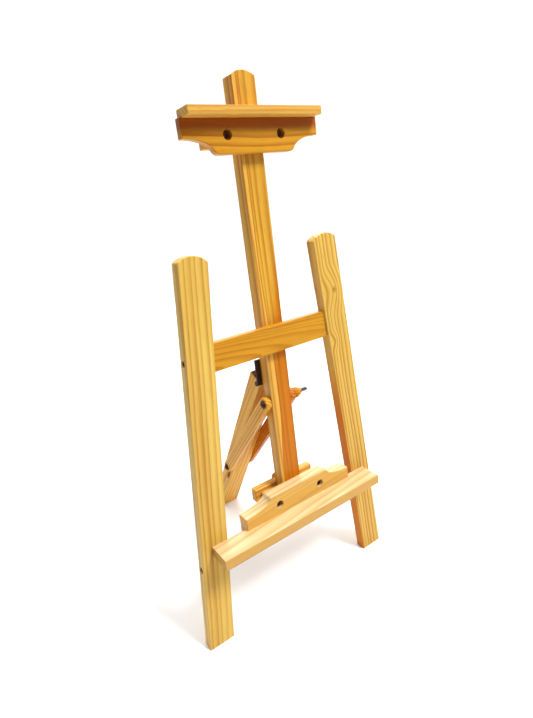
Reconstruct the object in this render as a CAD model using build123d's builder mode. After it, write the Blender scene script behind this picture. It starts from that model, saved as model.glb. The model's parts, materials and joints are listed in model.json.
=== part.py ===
from build123d import *
from math import atan2, cos, degrees, hypot, radians, sin, tan
import os

# Tabletop easel. A splayed front frame leans back on a hinged rear leg, and two side
# struts run from the mast to a slot in the rear leg. The tray and the top canvas holder
# slide on the mast and are clamped by knobs behind it.
#
# Places are given in the front frame's own coordinates, in millimetres:
#   u  across the easel, towards +X
#   v  up along the leaning frame, 0 where the leg fronts meet the table
#   w  forward out of the frame, 0 at the leg fronts

os.makedirs("parts", exist_ok=True)

# ---- driving dimensions (mm, degrees) ----

# front frame
LEAN = 8.0
FOOT_SPACING = 312.0
HEAD_SPACING = 204.0
LEG_RISE = 548.0
LEG_WIDTH = 40.0
LEG_THICKNESS = 16.0
LEG_ARCH = 8.0
RAIL_FRONT = -3.0
RAIL_THICKNESS = 10.0
CROSSBAR_BOTTOM = 408.0
CROSSBAR_HEIGHT = 38.0
LOWER_RAIL_BOTTOM = 111.0
LOWER_RAIL_HEIGHT = 38.0
LEG_SCREW_SINK = 4.0
LEG_SCREW_LENGTH = 58.0

# mast; everything that it carries is centred on it
GROUP_U = 8.0
MAST_WIDTH = 34.0
MAST_DEPTH = 20.0
MAST_BOTTOM = 112.0
MAST_TOP = 750.0
MAST_ARCH = 5.5
MAST_SCREW_U = 9.0
MAST_SCREW_SINK = 3.5
MAST_SCREW_BITE = 8.0

# boards that grip the mast, held together by long screws and clamped by a knob
SLIDE_GAP = 0.3
HOUSING_DEPTH = 1.0
BOARD_SCREW_U = 38.5
COUNTERBORE_RADIUS = 6.0
COUNTERBORE_DEPTH = 5.0
REAR_BOARD_HALF_LENGTH = 55.0
REAR_BOARD_HEIGHT = 21.0
REAR_BOARD_THICKNESS = 12.0
REAR_BOARD_BITE = 10.0
SPACER_WIDTH = 28.0
SPACER_BELOW_SCREW = 9.0
SPACER_ABOVE_SCREW = 4.5

# tray
TRAY_HALF_LENGTH = 144.0
TRAY_BOTTOM = 150.0
TRAY_THICKNESS = 16.0
TRAY_FRONT = 37.0
TRAY_LEG_GAP = 0.4
TRAY_EDGE_RADIUS = 1.5
TRAY_SCREW_U = 70.0
TRAY_SCREW_SINK = 3.4
TRAY_SCREW_BITE = 16.0
RISER_HALF_LENGTH = 98.0
RISER_THICKNESS = 20.0
RISER_END_HEIGHT = 20.0
RISER_CROWN_HEIGHT = 35.0
RISER_CROWN_HALF_LENGTH = 54.0
RISER_CROWN_ROUND = 4.0
RISER_SCREW_HEIGHT = 16.0

# canvas holder
HOLDER_TOP = 702.0
HOLDER_HALF_LENGTH = 97.0
HOLDER_THICKNESS = 11.0
HOLDER_END_HEIGHT = 22.0
HOLDER_CROWN_HEIGHT = 40.0
HOLDER_CROWN_HALF_LENGTH = 57.0
HOLDER_CROWN_ROUND = 9.0
HOLDER_SCREW_DROP = 18.0
SHELF_HALF_LENGTH = 94.0
SHELF_THICKNESS = 10.0
SHELF_FRONT = 14.5
SHELF_SCREW_U = 70.0
SHELF_SCREW_SINK = 3.4
SHELF_SCREW_BITE = 16.0

# rear leg and its slot
OPEN_ANGLE = 33.2
REAR_LEG_THICKNESS = 28.0
REAR_LEG_STOCK = 420.0
SLOT_TRAVEL = 42.0
SLOT_CLEARANCE = 0.4

# hinge
PIN_V = 358.0
PIN_W = -38.0
PIN_RADIUS = 1.5
PIN_HEAD_RADIUS = 2.6
PIN_HEAD_HEIGHT = 1.2
HINGE_WIDTH = 50.0
KNUCKLE_RADIUS = 4.0
KNUCKLE_GAP = 0.4
LEAF_THICKNESS = 2.0
LEAF_NOTCH = 5.0
FIXED_LEAF_LENGTH = 37.0
MOVING_LEAF_WIDTH = 32.0
MOVING_LEAF_LENGTH = 25.0
MOVING_LEAF_DROP = 2.6
HINGE_SCREW_U = 9.0
HINGE_SCREW_BITE = 14.0
FIXED_LEAF_SCREWS = (13.0, 29.0)
MOVING_LEAF_SCREWS = (10.5, 19.5)

# struts and their bolts
UPPER_BOLT_V = 330.0
LOWER_BOLT_V = 159.0
LOWER_BOLT_W = -180.0
STRUT_WIDTH = 20.0
STRUT_THICKNESS = 9.0
STRUT_GAP = 0.5
BOLT_RADIUS = 3.0
BOLT_HEAD_RADIUS = 5.0
BOLT_HEAD_HEIGHT = 3.0
WASHER_RADIUS = 6.2
WASHER_THICKNESS = 1.2
WASHER_GAP = 0.1
UPPER_BOLT_TIP_U = 62.0
LOWER_BOLT_TIP_U = 48.0
NUT_RADIUS = 6.0
NUT_HEIGHT = 5.0

# knobs and their threaded inserts
KNOB_TAPER = 25.0
KNOB_GAP = 0.2
UPPER_KNOB_RADIUS = 8.0
UPPER_KNOB_HEIGHT = 13.0
UPPER_INSERT_RADIUS = 4.5
INSERT_RADIUS = 5.0
CLAMP_KNOB_RADIUS = 9.5
CLAMP_KNOB_HEIGHT = 14.0
CLAMP_KNOB_GAP = 3.0
CLAMP_BOLT_TIP_GAP = 0.3

# screws, fits and edges
WOOD_SCREW_RADIUS = 2.0
WOOD_SCREW_HEAD_RADIUS = 4.4
WOOD_SCREW_HEAD_HEIGHT = 2.6
SMALL_SCREW_RADIUS = 1.5
SMALL_SCREW_HEAD_RADIUS = 3.0
SMALL_SCREW_HEAD_HEIGHT = 1.4
FIT = 0.05
EDGE = 0.8

# ---- derived sizes ----

lean = radians(LEAN)
splay = atan2((FOOT_SPACING - HEAD_SPACING) / 2, LEG_RISE)
leg_length = hypot((FOOT_SPACING - HEAD_SPACING) / 2, LEG_RISE)
leg_mid_w = -LEG_THICKNESS / 2
mast_front = RAIL_FRONT - RAIL_THICKNESS
mast_back = mast_front - MAST_DEPTH
grip_front = mast_front + SLIDE_GAP
grip_back = mast_back - SLIDE_GAP
grip_depth = grip_front - grip_back
rear_board_back = grip_back - REAR_BOARD_THICKNESS
tray_top = TRAY_BOTTOM + TRAY_THICKNESS
riser_front = grip_front + RISER_THICKNESS
riser_screw_v = tray_top + RISER_SCREW_HEIGHT
holder_front = grip_front + HOLDER_THICKNESS
holder_screw_v = HOLDER_TOP - HOLDER_SCREW_DROP
upper_bolt_w = (mast_front + mast_back) / 2
upper_bolt_point = (UPPER_BOLT_V, upper_bolt_w)
lower_bolt_point = (LOWER_BOLT_V, LOWER_BOLT_W)
strut_inner = MAST_WIDTH / 2 + STRUT_GAP
strut_outer = strut_inner + STRUT_THICKNESS
spacer_inner = MAST_WIDTH / 2 + SLIDE_GAP
strut_length = hypot(UPPER_BOLT_V - LOWER_BOLT_V, upper_bolt_w - LOWER_BOLT_W)
strut_angle = degrees(atan2(upper_bolt_w - LOWER_BOLT_W, UPPER_BOLT_V - LOWER_BOLT_V))

# the lower bolt seen from the rear leg: how far below the hinge pin, and how deep
open_angle = radians(OPEN_ANGLE)
bolt_drop = PIN_V - LOWER_BOLT_V
bolt_reach = PIN_W - LOWER_BOLT_W
bolt_along_leg = bolt_drop * cos(open_angle) + bolt_reach * sin(open_angle)
bolt_off_leg = bolt_drop * sin(open_angle) - bolt_reach * cos(open_angle)


# ---- placing ----

def frame_vector(u, v, w):
    """World vector for a step across, up and forward of the front frame."""
    return Vector(u, v * sin(lean) - w * cos(lean), v * cos(lean) + w * sin(lean))


def rear_leg_vector(along, off):
    """World vector from the hinge pin: along the open rear leg and off its front face."""
    v = -along * cos(open_angle) - off * sin(open_angle)
    w = -along * sin(open_angle) + off * cos(open_angle)
    return frame_vector(0, v, w)


def rear_foot():
    """Rearmost point of the rear foot, relative to the front frame's origin."""
    heel_start = frame_vector(0, PIN_V, PIN_W) + rear_leg_vector(0, -REAR_LEG_THICKNESS)
    step = rear_leg_vector(1, 0)
    return heel_start - step * (heel_start.Z / step.Z)


# the origin is on the table, midway between the tray's front and the rear foot
tray_front_y = frame_vector(0, TRAY_BOTTOM, TRAY_FRONT).Y
origin_shift = Vector(0, -(tray_front_y + rear_foot().Y) / 2, 0)


def frame_point(u, v, w):
    return frame_vector(u, v, w) + origin_shift


def member_plane(u, v, w, angle=0.0, facing=1):
    """Plane of a board swung back by angle: x across and y up the board when facing forward."""
    tilt = lean - radians(angle)
    return Plane(
        origin=frame_point(u, v, w),
        x_dir=(facing, 0, 0),
        z_dir=(0, -facing * cos(tilt), facing * sin(tilt)),
    )


def frame_plane(w, u=0):
    return member_plane(u, 0, w)


def back_plane(w, u=0):
    """Frame plane seen from behind: x runs towards -u."""
    return member_plane(u, 0, w, facing=-1)


def hanging_plane(u, v, w):
    """Frame plane turned upside down: y runs down the frame and z still faces forward."""
    return Plane(origin=frame_point(u, v, w), x_dir=(-1, 0, 0), z_dir=frame_vector(0, 0, 1))


def side_plane(u, facing=1):
    """Plane across the easel at u: x up the frame, and y forward when it faces +u."""
    return Plane(
        origin=frame_point(u, 0, 0),
        x_dir=frame_vector(0, 1, 0),
        z_dir=(facing, 0, 0),
    )


def level_plane(v, facing=1):
    """Plane square to the mast at height v: x across."""
    return Plane(origin=frame_point(0, v, 0), x_dir=(1, 0, 0), z_dir=frame_vector(0, facing, 0))


def leg_plane(side, w):
    """Front plane of a splayed leg: x across the leg and y up its centre line."""
    return Plane(
        origin=frame_point(side * FOOT_SPACING / 2, 0, w),
        x_dir=frame_vector(cos(splay), side * sin(splay), 0),
        z_dir=frame_vector(0, 0, 1),
    )


def leg_edge_plane(side):
    """Outer edge face of a splayed leg: x up the leg."""
    middle = leg_plane(side, leg_mid_w)
    return Plane(
        origin=middle.origin + middle.x_dir * (side * LEG_WIDTH / 2),
        x_dir=middle.y_dir,
        z_dir=middle.x_dir * side,
    )


def leg_inner_edge(v):
    """Distance from the frame's centre to a leg's inner edge at height v."""
    return FOOT_SPACING / 2 - v * tan(splay) - LEG_WIDTH / 2 / cos(splay)


# ---- repeated shapes ----

def block(plane, u_range, v_range, thickness):
    """Softened board whose front lies on plane."""
    with BuildPart() as board:
        with BuildSketch(plane):
            with Locations((sum(u_range) / 2, sum(v_range) / 2)):
                Rectangle(u_range[1] - u_range[0], v_range[1] - v_range[0])
        extrude(amount=-thickness)
        chamfer(board.edges(), length=EDGE)
    return board.part


def arched_board(plane, width, bottom, shoulder, arch, thickness):
    """Softened board with a shallow arched top, centred on the plane's x = 0."""
    half = width / 2
    with BuildPart() as board:
        with BuildSketch(plane):
            with BuildLine():
                Polyline((-half, shoulder), (-half, bottom), (half, bottom), (half, shoulder))
                ThreePointArc((half, shoulder), (0, shoulder + arch), (-half, shoulder))
            make_face()
        extrude(amount=-thickness)
        chamfer(board.edges(), length=EDGE)
    return board.part


def coved_board(plane, half_lengths, heights, crown_round, thickness):
    """Softened board standing on the plane's x axis, stepped up in two coves to a flat crown.

    half_lengths and heights give the board's ends first and its crown second.
    """
    half_length, crown_half_length = half_lengths
    end_height, crown_height = heights
    cove = (half_length - crown_half_length, crown_height - end_height)
    with BuildPart() as board:
        with BuildSketch(plane) as outline:
            with Locations((0, crown_height / 2)):
                Rectangle(2 * half_length, crown_height)
            with Locations((-half_length, crown_height), (half_length, crown_height)):
                Ellipse(*cove, mode=Mode.SUBTRACT)
            crown_corners = outline.vertices().sort_by(Axis.Y)[-2:]
            fillet(crown_corners, radius=crown_round)
        extrude(amount=-thickness)
        chamfer(board.edges(), length=EDGE)
    return board.part


def pegs(plane, points, radius, depth):
    """Round pegs going down from plane, used as shanks and as drilled holes."""
    with BuildPart() as cylinders:
        with BuildSketch(plane):
            with Locations(*points):
                Circle(radius)
        extrude(amount=-depth)
    return cylinders.part


def shank_bores(plane, points, depth):
    """Clearance holes for the shanks of wood screws."""
    return pegs(plane, points, WOOD_SCREW_RADIUS + FIT, depth)


def stepped_bores(plane, points, seat_radius, seat_depth, through):
    """Room for sunk wood screws: a wide seat for each head above a clearance hole."""
    with BuildPart() as bores:
        add(pegs(plane, points, seat_radius, seat_depth))
        add(shank_bores(plane, points, through))
    return bores.part


def sunk_bores(plane, points, sink, through):
    """Stepped bores that fit the screw heads closely."""
    return stepped_bores(plane, points, WOOD_SCREW_HEAD_RADIUS + FIT, sink, through)


def screws(plane, points, radius, head_radius, head_height, length):
    """Pan-head screws seated on plane, each with a cross recess."""
    with BuildPart() as fasteners:
        add(pegs(plane, points, radius, length))
        with BuildSketch(plane):
            with Locations(*points):
                Circle(head_radius)
        extrude(amount=head_height, taper=18)
        with BuildSketch(plane.offset(head_height)):
            with Locations(*points):
                Rectangle(1.1 * head_radius, 0.22 * head_radius)
                Rectangle(0.22 * head_radius, 1.1 * head_radius)
        extrude(amount=-head_height / 2, mode=Mode.SUBTRACT)
    return fasteners.part


def wood_screws(plane, points, length):
    return screws(
        plane, points, WOOD_SCREW_RADIUS, WOOD_SCREW_HEAD_RADIUS, WOOD_SCREW_HEAD_HEIGHT, length
    )


def small_screws(plane, points, length):
    return screws(
        plane, points, SMALL_SCREW_RADIUS, SMALL_SCREW_HEAD_RADIUS, SMALL_SCREW_HEAD_HEIGHT, length
    )


def ring(plane, point, outer_radius, inner_radius, length):
    """Washer, bush or knuckle standing up from plane."""
    with BuildPart() as tube:
        with BuildSketch(plane):
            with Locations(point):
                Circle(outer_radius)
                Circle(inner_radius, mode=Mode.SUBTRACT)
        extrude(amount=length)
    return tube.part


def carriage_bolt(plane, point, length):
    """Bolt with a domed head, seated on plane, its shank going down from the plane."""
    with BuildPart() as bolt:
        with BuildSketch(plane):
            with Locations(point):
                Circle(BOLT_HEAD_RADIUS)
        extrude(amount=BOLT_HEAD_HEIGHT)
        crown_face = bolt.faces().sort_by(Axis(plane.origin, plane.z_dir))[-1]
        fillet(crown_face.edges(), BOLT_HEAD_HEIGHT * 0.8)
        add(pegs(plane, [point], BOLT_RADIUS, length))
    return bolt.part


def turned_knob(plane, point, radius, height, bore_radius):
    """Turned wooden knob standing up from plane: a round grip that tapers towards its tip."""
    grip = height / 2
    with BuildPart() as knob:
        with BuildSketch(plane):
            with Locations(point):
                Circle(radius)
        extrude(amount=grip)
        with BuildSketch(plane.offset(grip)):
            with Locations(point):
                Circle(radius)
        extrude(amount=height - grip, taper=KNOB_TAPER)
        with BuildSketch(plane):
            with Locations(point):
                Circle(bore_radius)
        extrude(amount=height, mode=Mode.SUBTRACT)
    return knob.part


def export(part, label):
    part.label = label
    export_step(part, f"parts/{label}.step")


# ---- front frame ----

leg_screw_heights = [
    (LOWER_RAIL_BOTTOM + LOWER_RAIL_HEIGHT / 2) / cos(splay),
    (CROSSBAR_BOTTOM + CROSSBAR_HEIGHT / 2) / cos(splay),
]
leg_screw_points = [(height, 0) for height in leg_screw_heights]


def build_leg(side):
    front_plane = leg_plane(side, 0)
    with BuildPart() as leg:
        add(arched_board(front_plane, LEG_WIDTH, -LEG_WIDTH, leg_length, LEG_ARCH, LEG_THICKNESS))
        split(bisect_by=Plane.XY, keep=Keep.TOP)
        add(
            sunk_bores(leg_edge_plane(side), leg_screw_points, LEG_SCREW_SINK, LEG_WIDTH),
            mode=Mode.SUBTRACT,
        )
    return leg.part


with BuildPart() as left_leg:
    add(build_leg(-1))
export(left_leg.part, "left_leg")

with BuildPart() as right_leg:
    add(build_leg(1))
export(right_leg.part, "right_leg")


leg_screw_seats = [leg_edge_plane(side).offset(-LEG_SCREW_SINK) for side in (-1, 1)]

with BuildPart() as leg_screws:
    for seat in leg_screw_seats:
        add(wood_screws(seat, leg_screw_points, LEG_SCREW_LENGTH))
export(leg_screws.part, "leg_screws")


def build_rail(bottom, height):
    """Rail whose slanted ends butt against the inner edges of the legs."""
    top = bottom + height
    lower_half = leg_inner_edge(bottom)
    upper_half = leg_inner_edge(top)
    middle = bottom + height / 2
    fixing_points = [(GROUP_U - MAST_SCREW_U, middle), (GROUP_U + MAST_SCREW_U, middle)]
    with BuildPart() as rail:
        with BuildSketch(frame_plane(RAIL_FRONT)):
            Polygon(
                (-lower_half, bottom), (lower_half, bottom), (upper_half, top), (-upper_half, top),
                align=None,
            )
        extrude(amount=-RAIL_THICKNESS)
        chamfer(rail.edges().filter_by(Axis.X), length=EDGE)
        for seat in leg_screw_seats:
            add(shank_bores(seat, leg_screw_points, LEG_SCREW_LENGTH), mode=Mode.SUBTRACT)
        add(
            shank_bores(frame_plane(mast_front + MAST_SCREW_BITE), fixing_points, MAST_SCREW_BITE),
            mode=Mode.SUBTRACT,
        )
    return rail.part


with BuildPart() as crossbar:
    add(build_rail(CROSSBAR_BOTTOM, CROSSBAR_HEIGHT))
export(crossbar.part, "crossbar")

with BuildPart() as lower_rail:
    add(build_rail(LOWER_RAIL_BOTTOM, LOWER_RAIL_HEIGHT))
export(lower_rail.part, "lower_rail")

# ---- mast ----

mast_screw_points = [
    (-(GROUP_U + offset), height)
    for offset in (-MAST_SCREW_U, MAST_SCREW_U)
    for height in (LOWER_RAIL_BOTTOM + LOWER_RAIL_HEIGHT / 2, CROSSBAR_BOTTOM + CROSSBAR_HEIGHT / 2)
]
fixed_leaf_screw_points = [
    (-(GROUP_U + offset), PIN_V + height)
    for offset in (-HINGE_SCREW_U, HINGE_SCREW_U)
    for height in FIXED_LEAF_SCREWS
]
mast_back_plane = back_plane(mast_back)

with BuildPart() as mast:
    add(arched_board(
        frame_plane(mast_front, GROUP_U), MAST_WIDTH, MAST_BOTTOM, MAST_TOP, MAST_ARCH, MAST_DEPTH,
    ))
    add(
        sunk_bores(mast_back_plane, mast_screw_points, MAST_SCREW_SINK, MAST_DEPTH),
        mode=Mode.SUBTRACT,
    )
    add(
        pegs(mast_back_plane, fixed_leaf_screw_points, SMALL_SCREW_RADIUS + FIT, HINGE_SCREW_BITE),
        mode=Mode.SUBTRACT,
    )
    add(
        pegs(side_plane(GROUP_U + MAST_WIDTH / 2), [upper_bolt_point], BOLT_RADIUS + FIT, MAST_WIDTH),
        mode=Mode.SUBTRACT,
    )
export(mast.part, "mast")

with BuildPart() as mast_screws:
    add(wood_screws(
        back_plane(mast_back + MAST_SCREW_SINK), mast_screw_points,
        MAST_DEPTH - MAST_SCREW_SINK + MAST_SCREW_BITE,
    ))
export(mast_screws.part, "mast_screws")


# ---- hinge between the mast and the rear leg ----

pin_point = (PIN_V, PIN_W)
hinge_left = GROUP_U - HINGE_WIDTH / 2
hinge_right = GROUP_U + HINGE_WIDTH / 2
hinge_third = HINGE_WIDTH / 3
knuckle_length = hinge_third - KNUCKLE_GAP
fixed_leaf_back = back_plane(mast_back - LEAF_THICKNESS)

# the open rear leg's front face, and planes square to the leg for its end and the leaf on it
rear_leg_front = member_plane(GROUP_U, PIN_V, PIN_W, OPEN_ANGLE)
moving_leaf_top = Plane(
    origin=rear_leg_front.origin - rear_leg_front.y_dir * MOVING_LEAF_DROP,
    x_dir=rear_leg_front.x_dir,
    z_dir=rear_leg_front.y_dir,
)
rear_leg_end = moving_leaf_top.offset(-LEAF_THICKNESS)
moving_leaf_screw_points = [
    (offset, depth) for offset in (-HINGE_SCREW_U, HINGE_SCREW_U) for depth in MOVING_LEAF_SCREWS
]


def knuckle(third):
    """One knuckle barrel, counted from the hinge's left end."""
    start = hinge_left + third * hinge_third + KNUCKLE_GAP / 2
    return ring(side_plane(start), pin_point, KNUCKLE_RADIUS, PIN_RADIUS + FIT, knuckle_length)


with BuildPart() as hinge_fixed_leaf:
    with BuildSketch(back_plane(mast_back, GROUP_U)):
        with Locations((0, PIN_V + FIXED_LEAF_LENGTH / 2)):
            Rectangle(HINGE_WIDTH, FIXED_LEAF_LENGTH)
        with Locations((0, PIN_V)):
            Rectangle(hinge_third + KNUCKLE_GAP, 2 * LEAF_NOTCH, mode=Mode.SUBTRACT)
    extrude(amount=LEAF_THICKNESS)
    add(knuckle(0))
    add(knuckle(2))
    add(
        pegs(fixed_leaf_back, fixed_leaf_screw_points, SMALL_SCREW_RADIUS + FIT, LEAF_THICKNESS),
        mode=Mode.SUBTRACT,
    )
export(hinge_fixed_leaf.part, "hinge_fixed_leaf")

with BuildPart() as hinge_moving_leaf:
    with BuildSketch(moving_leaf_top):
        with Locations((0, MOVING_LEAF_LENGTH / 2)):
            Rectangle(MOVING_LEAF_WIDTH, MOVING_LEAF_LENGTH)
        with Locations((-hinge_third, 0), (hinge_third, 0)):
            Rectangle(hinge_third + KNUCKLE_GAP, 2 * LEAF_NOTCH, mode=Mode.SUBTRACT)
    extrude(amount=-LEAF_THICKNESS)
    add(knuckle(1))
    add(
        pegs(
            moving_leaf_top, moving_leaf_screw_points, SMALL_SCREW_RADIUS + FIT, LEAF_THICKNESS
        ),
        mode=Mode.SUBTRACT,
    )
export(hinge_moving_leaf.part, "hinge_moving_leaf")

with BuildPart() as hinge_pin:
    add(pegs(side_plane(hinge_right), [pin_point], PIN_RADIUS, HINGE_WIDTH))
    with BuildSketch(side_plane(hinge_right)):
        with Locations(pin_point):
            Circle(PIN_HEAD_RADIUS)
    extrude(amount=PIN_HEAD_HEIGHT)
export(hinge_pin.part, "hinge_pin")

with BuildPart() as hinge_fixed_screws:
    add(small_screws(fixed_leaf_back, fixed_leaf_screw_points, HINGE_SCREW_BITE + LEAF_THICKNESS))
export(hinge_fixed_screws.part, "hinge_fixed_screws")

with BuildPart() as hinge_leg_screws:
    add(small_screws(moving_leaf_top, moving_leaf_screw_points, HINGE_SCREW_BITE + LEAF_THICKNESS))
export(hinge_leg_screws.part, "hinge_leg_screws")

# ---- rear leg, with the slot that the lower bolt slides in ----

slot_middle = (-(bolt_along_leg + SLOT_TRAVEL / 2), bolt_off_leg)
rear_leg_side = Plane(
    origin=rear_leg_front.origin + Vector(MAST_WIDTH / 2, 0, 0),
    x_dir=rear_leg_front.y_dir,
    z_dir=(1, 0, 0),
)

with BuildPart() as rear_leg:
    with BuildSketch(rear_leg_end):
        with Locations((0, REAR_LEG_THICKNESS / 2)):
            Rectangle(MAST_WIDTH, REAR_LEG_THICKNESS)
    extrude(amount=-REAR_LEG_STOCK)
    chamfer(rear_leg.edges(), length=EDGE)
    split(bisect_by=Plane.XY, keep=Keep.TOP)
    with BuildSketch(rear_leg_side):
        with Locations(slot_middle):
            SlotCenterToCenter(SLOT_TRAVEL, 2 * (BOLT_RADIUS + SLOT_CLEARANCE))
    extrude(amount=-MAST_WIDTH, mode=Mode.SUBTRACT)
    add(
        pegs(rear_leg_end, moving_leaf_screw_points, SMALL_SCREW_RADIUS + FIT, HINGE_SCREW_BITE),
        mode=Mode.SUBTRACT,
    )
export(rear_leg.part, "rear_leg")

# ---- struts and their bolts ----

strut_middle = (
    (UPPER_BOLT_V + LOWER_BOLT_V) / 2,
    (upper_bolt_w + LOWER_BOLT_W) / 2,
)
left_outer_u = GROUP_U - strut_outer
right_outer_u = GROUP_U + strut_outer
right_washer_u = right_outer_u + WASHER_GAP
left_head_u = left_outer_u - WASHER_GAP - WASHER_THICKNESS
right_seat_u = right_washer_u + WASHER_THICKNESS


def build_strut(outer_plane):
    """Round-ended strut whose outer face lies on outer_plane."""
    mirror_y = outer_plane.z_dir.X
    angle = strut_angle * mirror_y
    bolt_points = [(v, w * mirror_y) for v, w in (upper_bolt_point, lower_bolt_point)]
    with BuildPart() as strut:
        with BuildSketch(outer_plane):
            with Locations((strut_middle[0], strut_middle[1] * mirror_y)):
                SlotCenterToCenter(strut_length, STRUT_WIDTH, rotation=angle)
        extrude(amount=-STRUT_THICKNESS)
        chamfer(strut.edges(), length=EDGE)
        add(pegs(outer_plane, bolt_points, BOLT_RADIUS + FIT, STRUT_THICKNESS), mode=Mode.SUBTRACT)
    return strut.part


with BuildPart() as left_strut:
    add(build_strut(side_plane(left_outer_u, -1)))
export(left_strut.part, "left_strut")

with BuildPart() as right_strut:
    add(build_strut(side_plane(right_outer_u, 1)))
export(right_strut.part, "right_strut")


def washer_pair(point):
    """Washers outside both struts."""
    return [
        ring(side_plane(start), point, WASHER_RADIUS, BOLT_RADIUS + FIT, WASHER_THICKNESS)
        for start in (left_head_u, right_washer_u)
    ]


def cross_bolt(point, tip_u):
    """Bolt across the easel with its head at the left strut."""
    seat = side_plane(left_head_u, -1)
    return carriage_bolt(seat, (point[0], -point[1]), tip_u - left_head_u)


with BuildPart() as upper_bolt:
    add(cross_bolt(upper_bolt_point, UPPER_BOLT_TIP_U))
export(upper_bolt.part, "upper_bolt")

with BuildPart() as upper_washers:
    add(washer_pair(upper_bolt_point))
export(upper_washers.part, "upper_washers")

knob_seat_u = right_seat_u + KNOB_GAP

with BuildPart() as upper_knob:
    add(turned_knob(
        side_plane(knob_seat_u), upper_bolt_point, UPPER_KNOB_RADIUS, UPPER_KNOB_HEIGHT,
        UPPER_INSERT_RADIUS + FIT,
    ))
export(upper_knob.part, "upper_knob")

with BuildPart() as upper_knob_insert:
    add(ring(
        side_plane(knob_seat_u), upper_bolt_point, UPPER_INSERT_RADIUS, BOLT_RADIUS + FIT,
        UPPER_KNOB_HEIGHT,
    ))
export(upper_knob_insert.part, "upper_knob_insert")

with BuildPart() as lower_bolt:
    add(cross_bolt(lower_bolt_point, LOWER_BOLT_TIP_U))
export(lower_bolt.part, "lower_bolt")

with BuildPart() as lower_washers:
    add(washer_pair(lower_bolt_point))
export(lower_washers.part, "lower_washers")

with BuildPart() as lower_nut:
    with BuildSketch(side_plane(right_seat_u)):
        with Locations(lower_bolt_point):
            RegularPolygon(NUT_RADIUS, 6)
            Circle(BOLT_RADIUS + FIT, mode=Mode.SUBTRACT)
    extrude(amount=NUT_HEIGHT)
export(lower_nut.part, "lower_nut")

# ---- boards that grip the mast, the same for the tray and the canvas holder ----

spacer_u_ranges = [
    (GROUP_U - spacer_inner - SPACER_WIDTH, GROUP_U - spacer_inner),
    (GROUP_U + spacer_inner, GROUP_U + spacer_inner + SPACER_WIDTH),
]
rear_board_u_range = (GROUP_U - REAR_BOARD_HALF_LENGTH, GROUP_U + REAR_BOARD_HALF_LENGTH)


def board_screw_points(v):
    return [(GROUP_U - BOARD_SCREW_U, v), (GROUP_U + BOARD_SCREW_U, v)]


def board_bores(front_w, screw_v):
    """Counterbored holes through a front board for the long screws."""
    return stepped_bores(
        frame_plane(front_w), board_screw_points(screw_v),
        COUNTERBORE_RADIUS, COUNTERBORE_DEPTH, front_w - grip_front,
    )


def build_board_screws(front_w, screw_v):
    """Long screws from a front board's counterbores through the spacers into the rear board."""
    seat_w = front_w - COUNTERBORE_DEPTH
    length = seat_w - grip_back + REAR_BOARD_BITE
    return wood_screws(frame_plane(seat_w), board_screw_points(screw_v), length)


def build_spacers(screw_v):
    """Blocks beside the mast that hold the front and rear boards apart."""
    v_range = (screw_v - SPACER_BELOW_SCREW, screw_v + SPACER_ABOVE_SCREW)
    front = frame_plane(grip_front)
    with BuildPart() as spacers:
        for u_range in spacer_u_ranges:
            add(block(front, u_range, v_range, grip_depth))
        add(shank_bores(front, board_screw_points(screw_v), grip_depth), mode=Mode.SUBTRACT)
    return spacers.part


def build_rear_board(screw_v):
    """Board behind the mast, bored for the long screws and the clamp's insert."""
    v_range = (screw_v - REAR_BOARD_HEIGHT / 2, screw_v + REAR_BOARD_HEIGHT / 2)
    front = frame_plane(grip_back)
    insert_point = (GROUP_U, screw_v)
    with BuildPart() as board:
        add(block(front, rear_board_u_range, v_range, REAR_BOARD_THICKNESS))
        add(shank_bores(front, board_screw_points(screw_v), REAR_BOARD_BITE), mode=Mode.SUBTRACT)
        add(
            pegs(front, [insert_point], INSERT_RADIUS + FIT, REAR_BOARD_THICKNESS),
            mode=Mode.SUBTRACT,
        )
    return board.part


def build_clamp_insert(screw_v):
    """Threaded insert let into a rear board."""
    return ring(
        frame_plane(rear_board_back), (GROUP_U, screw_v), INSERT_RADIUS,
        BOLT_RADIUS + FIT, REAR_BOARD_THICKNESS,
    )


def build_clamp_knob(screw_v):
    """Wooden knob behind a rear board, bored for its bolt."""
    plane = back_plane(rear_board_back - CLAMP_KNOB_GAP)
    return turned_knob(
        plane, (-GROUP_U, screw_v), CLAMP_KNOB_RADIUS, CLAMP_KNOB_HEIGHT, BOLT_RADIUS + FIT,
    )


def build_clamp_bolt(screw_v):
    """Clamp bolt from just behind the mast back through the insert into its knob."""
    tip_w = mast_back - CLAMP_BOLT_TIP_GAP
    end_w = rear_board_back - CLAMP_KNOB_GAP - CLAMP_KNOB_HEIGHT
    return pegs(frame_plane(tip_w), [(GROUP_U, screw_v)], BOLT_RADIUS, tip_w - end_w)


# ---- tray group ----

riser_seat_v = tray_top - HOUSING_DEPTH
riser_middle_w = (grip_front + riser_front) / 2
tray_screw_points = [
    (GROUP_U + offset, riser_middle_w) for offset in (-TRAY_SCREW_U, TRAY_SCREW_U)
]

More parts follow.
